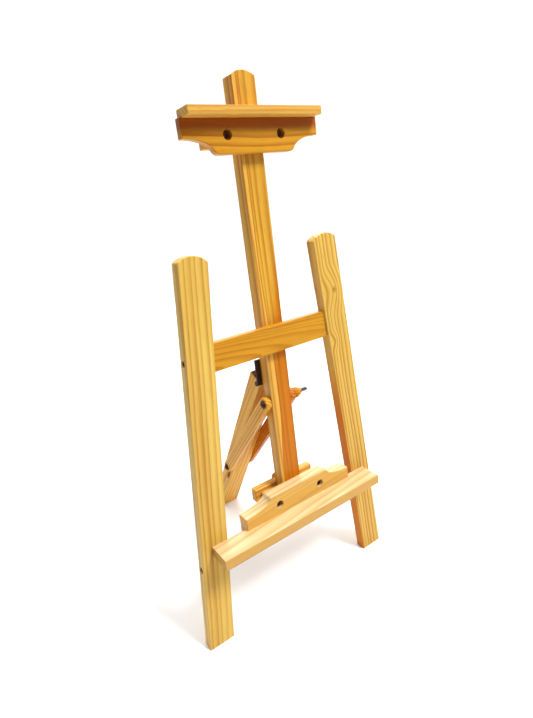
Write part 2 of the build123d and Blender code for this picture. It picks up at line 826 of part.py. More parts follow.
with BuildPart() as tray:
    with BuildSketch(frame_plane(TRAY_FRONT)):
        with Locations((0, TRAY_BOTTOM + TRAY_THICKNESS / 2)):
            Rectangle(2 * TRAY_HALF_LENGTH, TRAY_THICKNESS)
    extrude(amount=TRAY_LEG_GAP - TRAY_FRONT)
    front_edges = tray.edges().filter_by(Axis.X).sort_by(Axis.Y)[:2]
    fillet(front_edges, radius=TRAY_EDGE_RADIUS)
    with BuildSketch(frame_plane(TRAY_LEG_GAP)):
        with Locations((GROUP_U, TRAY_BOTTOM + TRAY_THICKNESS / 2)):
            Rectangle(2 * RISER_HALF_LENGTH, TRAY_THICKNESS)
    extrude(amount=grip_front - TRAY_LEG_GAP)
    with BuildSketch(level_plane(tray_top, -1)):
        with Locations((GROUP_U, riser_middle_w)):
            Rectangle(2 * RISER_HALF_LENGTH, RISER_THICKNESS)
    extrude(amount=HOUSING_DEPTH, mode=Mode.SUBTRACT)
    add(
        sunk_bores(
            level_plane(TRAY_BOTTOM, -1), tray_screw_points, TRAY_SCREW_SINK, TRAY_THICKNESS
        ),
        mode=Mode.SUBTRACT,
    )
export(tray.part, "tray")

with BuildPart() as riser_board:
    add(coved_board(
        member_plane(GROUP_U, riser_seat_v, riser_front),
        (RISER_HALF_LENGTH, RISER_CROWN_HALF_LENGTH), (RISER_END_HEIGHT, RISER_CROWN_HEIGHT),
        RISER_CROWN_ROUND, RISER_THICKNESS,
    ))
    add(board_bores(riser_front, riser_screw_v), mode=Mode.SUBTRACT)
    add(
        shank_bores(level_plane(riser_seat_v, -1), tray_screw_points, TRAY_SCREW_BITE),
        mode=Mode.SUBTRACT,
    )
export(riser_board.part, "riser_board")

with BuildPart() as tray_rear_board:
    add(build_rear_board(riser_screw_v))
export(tray_rear_board.part, "tray_rear_board")

with BuildPart() as tray_spacers:
    add(build_spacers(riser_screw_v))
export(tray_spacers.part, "tray_spacers")

with BuildPart() as riser_screws:
    add(build_board_screws(riser_front, riser_screw_v))
export(riser_screws.part, "riser_screws")

tray_screw_seat = TRAY_BOTTOM + TRAY_SCREW_SINK
tray_screw_length = riser_seat_v + TRAY_SCREW_BITE - tray_screw_seat

with BuildPart() as tray_screws:
    add(wood_screws(level_plane(tray_screw_seat, -1), tray_screw_points, tray_screw_length))
export(tray_screws.part, "tray_screws")

with BuildPart() as tray_clamp_insert:
    add(build_clamp_insert(riser_screw_v))
export(tray_clamp_insert.part, "tray_clamp_insert")

with BuildPart() as tray_clamp_knob:
    add(build_clamp_knob(riser_screw_v))
export(tray_clamp_knob.part, "tray_clamp_knob")

with BuildPart() as tray_clamp_bolt:
    add(build_clamp_bolt(riser_screw_v))
export(tray_clamp_bolt.part, "tray_clamp_bolt")

# ---- canvas holder group ----

holder_board_top = HOLDER_TOP + HOUSING_DEPTH
holder_middle_w = (grip_front + holder_front) / 2
shelf_top = HOLDER_TOP + SHELF_THICKNESS
shelf_u_range = (GROUP_U - SHELF_HALF_LENGTH, GROUP_U + SHELF_HALF_LENGTH)
shelf_screw_points = [
    (GROUP_U + offset, -holder_middle_w) for offset in (-SHELF_SCREW_U, SHELF_SCREW_U)
]

with BuildPart() as holder_front_board:
    add(coved_board(
        hanging_plane(GROUP_U, holder_board_top, holder_front),
        (HOLDER_HALF_LENGTH, HOLDER_CROWN_HALF_LENGTH), (HOLDER_END_HEIGHT, HOLDER_CROWN_HEIGHT),
        HOLDER_CROWN_ROUND, HOLDER_THICKNESS,
    ))
    add(board_bores(holder_front, holder_screw_v), mode=Mode.SUBTRACT)
    add(
        shank_bores(level_plane(holder_board_top), shelf_screw_points, SHELF_SCREW_BITE),
        mode=Mode.SUBTRACT,
    )
export(holder_front_board.part, "holder_front_board")

with BuildPart() as holder_shelf:
    add(block(
        frame_plane(SHELF_FRONT), shelf_u_range, (HOLDER_TOP, shelf_top), SHELF_FRONT - grip_front,
    ))
    with BuildSketch(level_plane(HOLDER_TOP)):
        with Locations((GROUP_U, -holder_middle_w)):
            Rectangle(2 * SHELF_HALF_LENGTH, HOLDER_THICKNESS)
    extrude(amount=HOUSING_DEPTH, mode=Mode.SUBTRACT)
    add(
        sunk_bores(level_plane(shelf_top), shelf_screw_points, SHELF_SCREW_SINK, SHELF_THICKNESS),
        mode=Mode.SUBTRACT,
    )
export(holder_shelf.part, "holder_shelf")

with BuildPart() as holder_rear_board:
    add(build_rear_board(holder_screw_v))
export(holder_rear_board.part, "holder_rear_board")

with BuildPart() as holder_spacers:
    add(build_spacers(holder_screw_v))
export(holder_spacers.part, "holder_spacers")

with BuildPart() as holder_screws:
    add(build_board_screws(holder_front, holder_screw_v))
export(holder_screws.part, "holder_screws")

shelf_screw_seat = shelf_top - SHELF_SCREW_SINK
shelf_screw_length = shelf_screw_seat - holder_board_top + SHELF_SCREW_BITE

with BuildPart() as shelf_screws:
    add(wood_screws(level_plane(shelf_screw_seat), shelf_screw_points, shelf_screw_length))
export(shelf_screws.part, "shelf_screws")

with BuildPart() as holder_clamp_insert:
    add(build_clamp_insert(holder_screw_v))
export(holder_clamp_insert.part, "holder_clamp_insert")

with BuildPart() as holder_clamp_knob:
    add(build_clamp_knob(holder_screw_v))
export(holder_clamp_knob.part, "holder_clamp_knob")

with BuildPart() as holder_clamp_bolt:
    add(build_clamp_bolt(holder_screw_v))
export(holder_clamp_bolt.part, "holder_clamp_bolt")
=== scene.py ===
import json
from collections import namedtuple
from math import cos, radians, sin

import bmesh
import bpy
from mathutils import Matrix, Vector


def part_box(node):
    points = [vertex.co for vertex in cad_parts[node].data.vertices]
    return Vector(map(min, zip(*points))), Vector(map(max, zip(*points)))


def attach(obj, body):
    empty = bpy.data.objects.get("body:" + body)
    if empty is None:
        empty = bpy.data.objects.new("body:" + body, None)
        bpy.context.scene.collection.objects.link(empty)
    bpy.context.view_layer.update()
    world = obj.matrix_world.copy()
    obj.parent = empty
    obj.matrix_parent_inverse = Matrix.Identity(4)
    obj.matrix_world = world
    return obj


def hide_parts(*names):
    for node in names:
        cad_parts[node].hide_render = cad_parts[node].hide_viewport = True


# A varnished pine tabletop easel. The CAD boards keep their shapes and get procedural pine.
# The bolts and turned knobs are replaced by finer meshes that ride on the same bodies.

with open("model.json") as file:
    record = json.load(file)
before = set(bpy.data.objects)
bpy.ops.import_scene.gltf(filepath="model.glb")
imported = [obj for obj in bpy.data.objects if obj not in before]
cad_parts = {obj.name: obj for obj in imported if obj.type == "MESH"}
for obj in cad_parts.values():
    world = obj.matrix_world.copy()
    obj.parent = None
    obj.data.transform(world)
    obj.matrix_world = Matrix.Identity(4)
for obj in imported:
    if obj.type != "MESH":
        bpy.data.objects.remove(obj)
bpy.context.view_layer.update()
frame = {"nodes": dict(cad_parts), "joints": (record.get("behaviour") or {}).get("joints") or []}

MM = 0.001

# ---- the front frame's own directions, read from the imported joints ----

joints = {joint["name"]: joint for joint in frame["joints"]}
ACROSS = Vector((1, 0, 0))
UP = Vector(joints["tray_slide"]["axis"])
FORWARD = ACROSS.cross(UP)
FRAME_FOOT = Vector((0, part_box("left_leg")[0].y, 0))


def place(u, v, w):
    """Point from millimetres across, up and forward of the leaning front frame."""
    return FRAME_FOOT + (ACROSS * u + UP * v + FORWARD * w) * MM


def direction(u, v, w):
    return (ACROSS * u + UP * v + FORWARD * w).normalized()


def middle(node):
    low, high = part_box(node)
    return (low + high) / 2


# ---- camera ----

# its place (mm), the way it looks and the way that is up in its view, all in the leaning
# front frame's directions, then its lens and sensor height (mm)
CAMERA_PLACE = (-338.1, 599.4, 507.7)
CAMERA_AXIS = (0.5077, -0.3087, -0.8043)
CAMERA_UP = (0.2706, 0.9435, -0.1913)
LENS = 23.31
SENSOR = 36.0


def make_camera():
    data = bpy.data.cameras.new("camera")
    data.sensor_fit = "VERTICAL"
    data.sensor_height = SENSOR
    data.lens = LENS
    data.clip_start = 0.02
    camera = bpy.data.objects.new("camera", data)
    bpy.context.scene.collection.objects.link(camera)
    backward = -direction(*CAMERA_AXIS)
    right = direction(*CAMERA_UP).cross(backward).normalized()
    up = backward.cross(right)
    turn = Matrix((right, up, backward)).transposed().to_4x4()
    camera.matrix_world = Matrix.Translation(place(*CAMERA_PLACE)) @ turn
    bpy.context.scene.camera = camera


make_camera()

# ---- shader helpers ----


def linear(red, green, blue):
    """Linear colour from 0-255 display values."""
    def channel(value):
        value /= 255
        return value / 12.92 if value <= 0.04045 else ((value + 0.055) / 1.055) ** 2.4
    return (channel(red), channel(green), channel(blue), 1.0)


class Shader:
    """A material under construction: nodes are added with their inputs already linked or set."""

    def __init__(self, name):
        self.material = bpy.data.materials.new(name)
        self.material.use_nodes = True
        self.tree = self.material.node_tree
        self.surface = self.tree.nodes["Principled BSDF"]

    def add(self, kind, inputs=None, **settings):
        node = self.tree.nodes.new(kind)
        for key, value in settings.items():
            setattr(node, key, value)
        for key, value in (inputs or {}).items():
            self.join(value, node.inputs[key])
        return node

    def join(self, value, socket):
        if isinstance(value, bpy.types.NodeSocket):
            self.tree.links.new(value, socket)
        else:
            socket.default_value = value

    def math(self, operation, first, second=0.0, third=0.0, clamp=False):
        node = self.add("ShaderNodeMath", {0: first, 1: second, 2: third}, operation=operation)
        node.use_clamp = clamp
        return node.outputs[0]

    def noise(self, vector, scale, detail=2.0, roughness=0.5):
        inputs = {"Vector": vector, "Scale": scale, "Detail": detail, "Roughness": roughness}
        return self.add("ShaderNodeTexNoise", inputs).outputs["Fac"]

    def stretch(self, vector, scale, offset=(0, 0, 0)):
        inputs = {"Vector": vector, "Scale": scale, "Location": offset}
        return self.add("ShaderNodeMapping", inputs, vector_type="POINT").outputs[0]

    def spread(self, value, low, high, to_low=0.0, to_high=1.0, smooth=False):
        inputs = {
            "Value": value, "From Min": low, "From Max": high, "To Min": to_low, "To Max": to_high,
        }
        kind = "SMOOTHSTEP" if smooth else "LINEAR"
        return self.add("ShaderNodeMapRange", inputs, interpolation_type=kind).outputs[0]

    def mix(self, factor, first, second):
        node = self.add("ShaderNodeMix", data_type="RGBA")
        for value, socket in zip((factor, first, second), (0, 6, 7)):
            self.join(value, node.inputs[socket])
        return node.outputs[2]

    def bump(self, height, strength, distance):
        inputs = {"Height": height, "Strength": strength, "Distance": distance}
        self.join(self.add("ShaderNodeBump", inputs).outputs[0], self.surface.inputs["Normal"])

    def set(self, **values):
        for key, value in values.items():
            self.join(value, self.surface.inputs[key.replace("_", " ")])


def dress(obj, material):
    obj.data.materials.clear()
    obj.data.materials.append(material)


# ---- varnished pine ----

# Grain of one board: the way it runs, the way its wide face looks, where the tree's heart
# lies beside and beneath the board (mm), how fast the heart comes nearer along the board
# (mm per m, which draws arches), ring spacing (mm), how dark the rings are, the two
# colours, a seed, and the knots as (along, across, radius) in mm.
Grain = namedtuple("Grain", "along face heart drift ring contrast pale dark seed knots")

# pale growth and dark lines of the legs' pale wood, then of the gold, tan, cream and warm wood,
# and of the red, which is painted shade for the right strut
PALE_PINE = linear(232, 196, 98)
LEG_LINE = linear(176, 112, 18)
GOLD_PINE = linear(220, 160, 42)
GOLD_LINE = linear(164, 88, 6)
TAN_PINE = linear(230, 180, 84)
TAN_LINE = linear(172, 104, 24)
# the cream shows only on the tray's and riser's tops, where it is painted light
CREAM_PINE = linear(230, 208, 162)
CREAM_LINE = linear(204, 160, 92)
WARM_PINE = linear(242, 190, 64)
WARM_LINE = linear(176, 98, 10)
# painted shade: a darker red copy of the struts' warm wood, for the right strut that sits in shade
SHADED_STRUT_PINE = linear(220, 138, 40)
SHADED_STRUT_LINE = linear(150, 66, 6)

# tones that only part of a board has, some of them painted shade
# painted shade: the darker tan of the tray's edges below its painted lit top
SHADED_EDGE_PINE = linear(206, 156, 72)
MAST_GOLD = linear(230, 182, 66)
SAPWOOD = linear(244, 192, 86)
# heartwood, also used as painted shade on the mast under the crossbar and on the right leg's inner
# side
HEARTWOOD_AND_SHADE = linear(208, 122, 10)
HEART_LINE = linear(168, 86, 8)
# painted shade under the holder's shelf, drawn as dark red heartwood
SHELF_SHADE_HEARTWOOD = linear(138, 38, 4)


def board_space(shader, node, grain):
    """Board coordinates in metres: x along the grain, y across the face, z out of the face."""
    across = grain.face.cross(grain.along).normalized()
    face = grain.along.cross(across).normalized()
    axes = Matrix((grain.along, across, face)).transposed()
    place_in_board = {
        "Vector": shader.add("ShaderNodeTexCoord").outputs["Object"],
        "Location": middle(node),
        "Rotation": axes.to_euler(),
    }
    return shader.add("ShaderNodeMapping", place_in_board, vector_type="TEXTURE").outputs[0]


# a knot's field is long along the grain and reaches deep into the board
KNOT_STRETCH = (1.5, 1.0, 4.0)


def knot_field(shader, place_in_board, x, y, reach):
    """1 at a knot's middle, falling to 0 at its reach; x, y and reach in mm."""
    centre = {"Vector": place_in_board, "Location": (x * MM, y * MM, 0), "Scale": KNOT_STRETCH}
    local = shader.add("ShaderNodeMapping", centre, vector_type="TEXTURE").outputs[0]
    length = shader.add("ShaderNodeVectorMath", {0: local}, operation="LENGTH").outputs["Value"]
    return shader.spread(length, 0, reach * MM, 1, 0, smooth=True)


# ---- tones of a board: each takes the shader, the board coordinates and the board's grain ----


def plain_tone(shader, parts, grain):
    """One tone of pale wood over the whole board."""
    return grain.pale


# where the mast turns from gold to heartwood, which is also painted shade under the crossbar: the
# border's slant, and half its fade (m)
HEART_SHADE_SLANT = 6.0
HEART_SHADE_FADE = 0.06

# the sapwood strip: where its border lies across the mast and how far that swells (mm), where
# the swelling grows and shrinks along the mast (m), how soft the border is (mm), and how wide
# (mm) and how strong the dark line along it is
SAPWOOD_BORDER = 10.5
SAPWOOD_SWELL = 6.0
SWELL_GROWS = (-0.215, -0.110)
SWELL_SHRINKS = (-0.060, 0.110)
SAPWOOD_BLUR = 0.6
BORDER_LINE_WIDTH = 1.5
BORDER_LINE_DEPTH = 0.75


def mast_tone(shader, parts, grain):
    """Golden above and deep orange below, the deep orange partly heartwood and partly painted
    shade under the crossbar, with pale sapwood along the mast's left edge.
    """
    slanted = shader.math("MULTIPLY_ADD", parts["Y"], HEART_SHADE_SLANT, parts["X"])
    lower = shader.spread(slanted, -HEART_SHADE_FADE, HEART_SHADE_FADE, 1, 0, smooth=True)
    heart = shader.mix(lower, MAST_GOLD, HEARTWOOD_AND_SHADE)
    swell_up = shader.spread(parts["X"], *SWELL_GROWS, smooth=True)
    swell_down = shader.spread(parts["X"], *SWELL_SHRINKS, 1, 0, smooth=True)
    swell = shader.math("MULTIPLY", swell_up, swell_down)
    edge = shader.math("MULTIPLY_ADD", swell, -SAPWOOD_SWELL * MM, SAPWOOD_BORDER * MM)
    inside = shader.math("SUBTRACT", parts["Y"], edge)
    sapwood = shader.spread(inside, -SAPWOOD_BLUR * MM, SAPWOOD_BLUR * MM, smooth=True)
    away = shader.math("ABSOLUTE", inside)
    border = shader.spread(away, 0, BORDER_LINE_WIDTH * MM, BORDER_LINE_DEPTH, 0, smooth=True)
    return shader.mix(border, shader.mix(sapwood, heart, SAPWOOD), HEART_LINE)


# the skin on the right leg's inner side (mm from its middle), and where along the leg the painted
# shade there, drawn in heartwood colour, fades out (m)
LEG_SIDE = (18.6, 19.6)
LEG_SIDE_SHADE_REACH = (-0.02, 0.12)


def right_leg_shaded_side_tone(shader, parts, grain):
    """Pale, with painted shade in heartwood colour along the lower part of the leg's inner side.
    """
    side = shader.spread(parts["Y"], LEG_SIDE[0] * MM, LEG_SIDE[1] * MM, smooth=True)
    lower = shader.spread(parts["X"], *LEG_SIDE_SHADE_REACH, 1, 0, smooth=True)
    return shader.mix(shader.math("MULTIPLY", side, lower), grain.pale, HEARTWOOD_AND_SHADE)


# the holder's streak of painted shade under the shelf, drawn partly as red heartwood: how it
# wavers (noise scale per metre, then mm), where it fades in above the board's middle (mm), and how
# strong it is
STREAK_SCALE = (16, 60, 60)
STREAK_WAVER = 5.0
STREAK_FADE = (3.0, 14.0)
STREAK_DEPTH = 0.85


def holder_shade_tone(shader, parts, grain):
    """Painted shade under the shelf along the top of the holder's board, drawn as a red streak
    partly of heartwood.
    """
    wavy = shader.noise(shader.stretch(parts["vector"], STREAK_SCALE), 1.0, detail=2.0)
    height = shader.math("MULTIPLY_ADD", wavy, STREAK_WAVER * MM, parts["Y"])
    streak = shader.spread(height, STREAK_FADE[0] * MM, STREAK_FADE[1] * MM, smooth=True)
    return shader.mix(shader.math("MULTIPLY", streak, STREAK_DEPTH), grain.pale, SHELF_SHADE_HEARTWOOD)


# skins where a board's colour changes, in mm from the board's middle: where painted light on the
# tray's and riser's tops meets painted shade on their other faces
TRAY_TOP_SKIN = (6.9, 7.7)
RISER_FRONT_SKIN = (9.0, 9.8)
RISER_END_SKIN = (97.0, 97.8)


def tray_lit_top_tone(shader, parts, grain):
    """Painted light and shade: cream on the tray's lit top, a darker tan painted as shade round
    its edges.
    """
    top = shader.spread(parts["Z"], TRAY_TOP_SKIN[0] * MM, TRAY_TOP_SKIN[1] * MM, smooth=True)
    return shader.mix(top, SHADED_EDGE_PINE, grain.pale)


def riser_lit_top_tone(shader, parts, grain):
    """Painted light and shade: tan painted as shade on the riser's front and ends, cream painted
    as light along its shaped upper edge.
    """
    inside = []
    end_way = shader.math("ABSOLUTE", parts["X"])
    for way, skin in ((parts["Z"], RISER_FRONT_SKIN), (end_way, RISER_END_SKIN)):
        inside.append(shader.spread(way, skin[0] * MM, skin[1] * MM, 1, 0, smooth=True))
    return shader.mix(shader.math("MULTIPLY", *inside), TAN_PINE, grain.pale)


# ---- the rings, fibres and varnish that every board has ----

# noise scales along, across and out of a board, per metre
WANDER_SCALE = (3.2, 14, 14)
RIPPLE_SCALE = (11, 60, 60)
STRENGTH_SCALE = (4, 40, 40)
FIBRE_SCALE = (9, 1100, 1100)
BAND_SCALE = (2.2, 34, 34)
DASH_SCALE = (55, 1500, 1500)
SMEAR_SCALE = (18, 45, 45)
SEED_STEP = (0.37, 0.61, 0.13)

# how far the rings wander and ripple (mm), how far round a knot they bend (in its radius)
# and by how much, and how their spacing changes from ring to ring
WANDER = 9.0
RIPPLE = 1.6
KNOT_REACH = 4.2
KNOT_SWIRL = 1.7
SPACING_SCALE = 0.45
SPACING_CHANGE = 1.8

# shares of a ring's width over which its dark line rises and falls
LINE_RISE = (0.30, 0.86)
LINE_FALL = (0.90, 0.99)
WEAKEST_LINE = 0.45

# the most that each mark darkens the wood
BAND_DEPTH = 0.34
FIBRE_DEPTH = 0.20
DASH_DEPTH = 0.35
KNOT_DEPTH = 0.85
DEEPER = 0.55
KNOT_RINGS = 26.0
KNOT_RING_DEPTH = 0.15


def seeded(shader, parts, grain, scale):
    """Board coordinates stretched for a noise, and shifted by the board's seed."""
    return shader.stretch(parts["vector"], scale, tuple(grain.seed * step for step in SEED_STEP))


def wobble(shader, place_on, detail, width):
    """Noise around 0, width mm from end to end."""
    noise = shader.noise(place_on, 1.0, detail=detail)
    return shader.math("MULTIPLY", shader.math("SUBTRACT", noise, 0.5), width * MM)


def ring_reach(shader, parts, grain):
    """Distance from the tree's heart, wandering along the board and bent round its knots."""
    wander = wobble(shader, seeded(shader, parts, grain, WANDER_SCALE), 1.5, WANDER)
    ripple = wobble(shader, seeded(shader, parts, grain, RIPPLE_SCALE), 2.0, RIPPLE)
    beside = shader.math("SUBTRACT", parts["Y"], grain.heart[0] * MM)
    beneath = shader.math("SUBTRACT", parts["Z"], grain.heart[1] * MM)
    beneath = shader.math("MULTIPLY_ADD", parts["X"], grain.drift * MM, beneath)
    square = shader.math("POWER", beside, 2.0)
    reach = shader.math("SQRT", shader.math("MULTIPLY_ADD", beneath, beneath, square))
    reach = shader.math("ADD", shader.math("ADD", reach, wander), ripple)
    for x, y, size in grain.knots:
        swirl = knot_field(shader, parts["vector"], x, y, KNOT_REACH * size)
        reach = shader.math("MULTIPLY_ADD", swirl, KNOT_SWIRL * size * MM, reach)
    return reach


def ring_line(shader, parts, grain):
    """Strength of the ring lines: slow pale growth, then a dark line with a sharp outer edge."""
    rings = shader.math("DIVIDE", ring_reach(shader, parts, grain), grain.ring * MM)
    along_rings = shader.add("ShaderNodeCombineXYZ", {0: rings}).outputs[0]
    spacing = shader.noise(along_rings, SPACING_SCALE, detail=1.0)
    phase = shader.math("FRACT", shader.math("MULTIPLY_ADD", spacing, SPACING_CHANGE, rings))
    rise = shader.spread(phase, *LINE_RISE, smooth=True)
    fall = shader.spread(phase, *LINE_FALL, 1, 0, smooth=True)
    patchy = shader.noise(seeded(shader, parts, grain, STRENGTH_SCALE), 1.0, detail=2.0)
    strength = shader.spread(patchy, 0.3, 0.7, WEAKEST_LINE * grain.contrast, grain.contrast)
    return shader.math("MULTIPLY", shader.math("MULTIPLY", rise, fall), strength, clamp=True)


def darken_knots(shader, colour, deep, parts, grain):
    """Dark middles with faint rings for a board's knots."""
    heart = None
    for knot in grain.knots:
        field = knot_field(shader, parts["vector"], *knot)
        heart = field if heart is None else shader.math("MAXIMUM", heart, field)
    if heart is None:
        return colour
    knot_rings = shader.math("SINE", shader.math("MULTIPLY", heart, KNOT_RINGS))
    knot_tone = shader.math("MULTIPLY_ADD", knot_rings, KNOT_RING_DEPTH, heart)
    return shader.mix(shader.spread(knot_tone, 0.25, 1.0, 0, KNOT_DEPTH), colour, deep)


def pine(node, grain, tone=plain_tone):
    shader = Shader("pine_" + node)
    local = board_space(shader, node, grain)
    separate = shader.add("ShaderNodeSeparateXYZ", {0: local}).outputs
    parts = {"X": separate["X"], "Y": separate["Y"], "Z": separate["Z"], "vector": local}
    line = ring_line(shader, parts, grain)

    # fibres, soft bands of colour, and small resin dashes
    fibre = shader.noise(seeded(shader, parts, grain, FIBRE_SCALE), 1.0, 3.0, 0.6)
    band = shader.noise(seeded(shader, parts, grain, BAND_SCALE), 1.0, detail=2.0)
    dash = shader.noise(seeded(shader, parts, grain, DASH_SCALE), 1.0, detail=0.0)
    deep = tuple(DEEPER * value for value in grain.dark[:3]) + (1.0,)
    colour = shader.mix(line, tone(shader, parts, grain), grain.dark)
    colour = shader.mix(shader.spread(band, 0.35, 0.72, 0, BAND_DEPTH), colour, grain.dark)
    colour = shader.mix(shader.spread(fibre, 0.3, 0.75, 0, FIBRE_DEPTH), colour, grain.dark)
    colour = shader.mix(shader.spread(dash, 0.72, 0.80, 0, DASH_DEPTH), colour, deep)
    colour = darken_knots(shader, colour, deep, parts, grain)

    # smeared varnish over the fibres
    smear = shader.noise(seeded(shader, parts, grain, SMEAR_SCALE), 1.0, detail=3.0)
    gloss = shader.math("MULTIPLY_ADD", fibre, 0.10, shader.spread(smear, 0.3, 0.7, 0.26, 0.40))
    height = shader.math("MULTIPLY_ADD", line, 0.5, shader.math("MULTIPLY", fibre, 0.5))
    shader.set(Base_Color=colour, Roughness=gloss, Specular_IOR_Level=0.14, Coat_Weight=0.04)
    shader.bump(height, 0.35, 0.25 * MM)
    return shader.material


# ---- the boards' directions and grain ----

LEG_WIDTH = 40.0

left_low, left_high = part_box("left_leg")
leg_run = left_high.x - left_low.x - LEG_WIDTH * MM
leg_rise = left_high.z / UP.z
rear_axis = Vector(joints["rear_leg_fold"]["pos_m"]) - middle("rear_leg")
strut_axis = Vector(joints["strut_swing"]["pos_m"]) - middle("left_strut")
for axis in (rear_axis, strut_axis):
    axis.x = 0

LEFT_LEG_WAY = direction(leg_run, leg_rise, 0)
RIGHT_LEG_WAY = direction(-leg_run, leg_rise, 0)
REAR_WAY = rear_axis.normalized()
STRUT_WAY = strut_axis.normalized()

LEG_WOOD = (PALE_PINE, LEG_LINE)
GOLD_WOOD = (GOLD_PINE, GOLD_LINE)
TAN_WOOD = (TAN_PINE, TAN_LINE)
CREAM_WOOD = (CREAM_PINE, CREAM_LINE)
WARM_WOOD = (WARM_PINE, WARM_LINE)
SHADED_STRUT_WOOD = (SHADED_STRUT_PINE, SHADED_STRUT_LINE)
RIGHT_LEG_KNOTS = ((196, -3, 7), (120, 9, 3.5))

grains = {
    "left_leg": Grain(LEFT_LEG_WAY, FORWARD, (58, 20), 26, 8.0, 0.75, *LEG_WOOD, 1, ()),
    "right_leg": Grain(
        RIGHT_LEG_WAY, FORWARD, (-62, 24), -24, 6.4, 1.0, *LEG_WOOD, 2, RIGHT_LEG_KNOTS
    ),
    "crossbar": Grain(ACROSS, FORWARD, (-16, -44), 40, 2.3, 0.6, *GOLD_WOOD, 3, ()),
    "lower_rail": Grain(ACROSS, FORWARD, (8, -24), -80, 4.6, 0.9, *GOLD_WOOD, 4, ()),
    "mast": Grain(UP, FORWARD, (70, -40), 12, 7.0, 0.70, *GOLD_WOOD, 5, ()),
    "tray": Grain(ACROSS, UP, (30, -90), 40, 5.4, 0.90, *CREAM_WOOD, 6, ()),
    "riser_board": Grain(ACROSS, FORWARD, (-26, 32), 90, 7.0, 0.90, *CREAM_WOOD, 7, ()),
    "tray_rear_board": Grain(ACROSS, FORWARD, (34, -60), 0, 4.8, 0.70, *TAN_WOOD, 8, ()),
    "tray_spacers": Grain(ACROSS, FORWARD, (20, -44), 0, 4.4, 0.70, *TAN_WOOD, 9, ()),
    "holder_front_board": Grain(ACROSS, FORWARD, (24, 70), 0, 4.6, 0.95, *GOLD_WOOD, 10, ()),
    "holder_shelf": Grain(ACROSS, UP, (46, -60), 0, 4.8, 0.70, *TAN_WOOD, 11, ()),
    "holder_rear_board": Grain(ACROSS, FORWARD, (-30, -58), 0, 5.0, 0.75, *TAN_WOOD, 12, ()),
    "holder_spacers": Grain(ACROSS, FORWARD, (-22, 46), 0, 4.6, 0.70, *TAN_WOOD, 13, ()),
    "rear_leg": Grain(REAR_WAY, ACROSS, (60, 44), 10, 6.4, 0.70, *WARM_WOOD, 14, ()),
    "left_strut": Grain(STRUT_WAY, ACROSS, (34, -22), 0, 4.0, 0.90, *WARM_WOOD, 15, ()),
    # the right strut's darker red wood is painted shade on the struts' warm wood
    "right_strut": Grain(STRUT_WAY, ACROSS, (-36, 20), 0, 4.2, 0.90, *SHADED_STRUT_WOOD, 16, ()),
    "upper_knob": Grain(ACROSS, UP, (22, 10), 0, 3.0, 0.75, *GOLD_WOOD, 17, ()),
    "tray_clamp_knob": Grain(FORWARD, UP, (30, 14), 0, 3.4, 0.75, *GOLD_WOOD, 18, ()),
    "holder_clamp_knob": Grain(FORWARD, UP, (-28, 18), 0, 3.4, 0.75, *GOLD_WOOD, 19, ()),
}
tones = {
    "right_leg": right_leg_shaded_side_tone,
    "mast": mast_tone,
    "tray": tray_lit_top_tone,
    "riser_board": riser_lit_top_tone,
    "holder_front_board": holder_shade_tone,
}
pines = {node: pine(node, grain, tones.get(node, plain_tone)) for node, grain in grains.items()}
for node, material in pines.items():
    dress(frame["nodes"][node], material)

# ---- metals ----

# noise scales per metre, and how much of the colour wears off at most
TARNISH_SCALE = 260.0
SCRATCH_SCALE = (300, 2600, 900)
MOST_WEAR = 0.7


def metal(name, colour, worn, roughness, grit, metallic=0.9):
    """Plated metal with cloudy tarnish, worn patches, and scratches grit mm deep."""
    shader = Shader(name)
    place_on = shader.add("ShaderNodeTexCoord").outputs["Object"]
    cloud = shader.noise(place_on, TARNISH_SCALE, detail=4.0)
    scratch = shader.noise(shader.stretch(place_on, SCRATCH_SCALE), 1.0, detail=3.0)
    wear = shader.math("MULTIPLY", shader.spread(cloud, 0.48, 0.70), MOST_WEAR)
    base = shader.mix(wear, colour, worn)
    gloss = shader.spread(scratch, 0.3, 0.7, roughness - 0.08, roughness + 0.12)
    shader.set(Base_Color=base, Roughness=gloss, Metallic=metallic)
    shader.bump(scratch, 0.25, grit * MM)
    return shader.material


HINGE_METAL = metal(
    "hinge_steel", linear(44, 18, 8), linear(84, 46, 22), roughness=0.55, grit=0.06, metallic=0.3
)
SCREW_METAL = metal(
    "screw_bronze", linear(66, 34, 20), linear(138, 92, 56), roughness=0.30, grit=0.04
)
HEAD_METAL = metal(
    "bolt_head_bronze", linear(72, 38, 18), linear(150, 98, 50), roughness=0.36, grit=0.04,
    metallic=0.7,
)
BOLT_METAL = metal(
    "bolt_steel", linear(140, 142, 146), linear(205, 206, 208), roughness=0.30, grit=0.04
)
BRASS = metal(
    "insert_brass", linear(196, 158, 84), linear(226, 198, 132), roughness=0.30, grit=0.03
)

for node in ("hinge_fixed_leaf", "hinge_moving_leaf", "hinge_pin"):
    dress(frame["nodes"][node], HINGE_METAL)
for node in frame["nodes"]:
    if "screws" in node:
        dress(frame["nodes"][node], SCREW_METAL)
    elif "washers" in node:
        dress(frame["nodes"][node], HEAD_METAL)
    elif "bolt" in node or "nut" in node:
        dress(frame["nodes"][node], BOLT_METAL)
    elif "insert" in node:
        dress(frame["nodes"][node], BRASS)

# ---- turned and threaded pieces that replace plain CAD ones ----

# faces round a turned piece, the sharpest angle (degrees) that is still smoothed, and the
# bolts' sizes (mm)
SPOKES = 48
CRISP_ANGLE = 38
BOLT_RADIUS = 3.0
THREAD_PITCH = 1.0
THREAD_DEPTH = 0.45
THREAD_CHAMFER = 0.8


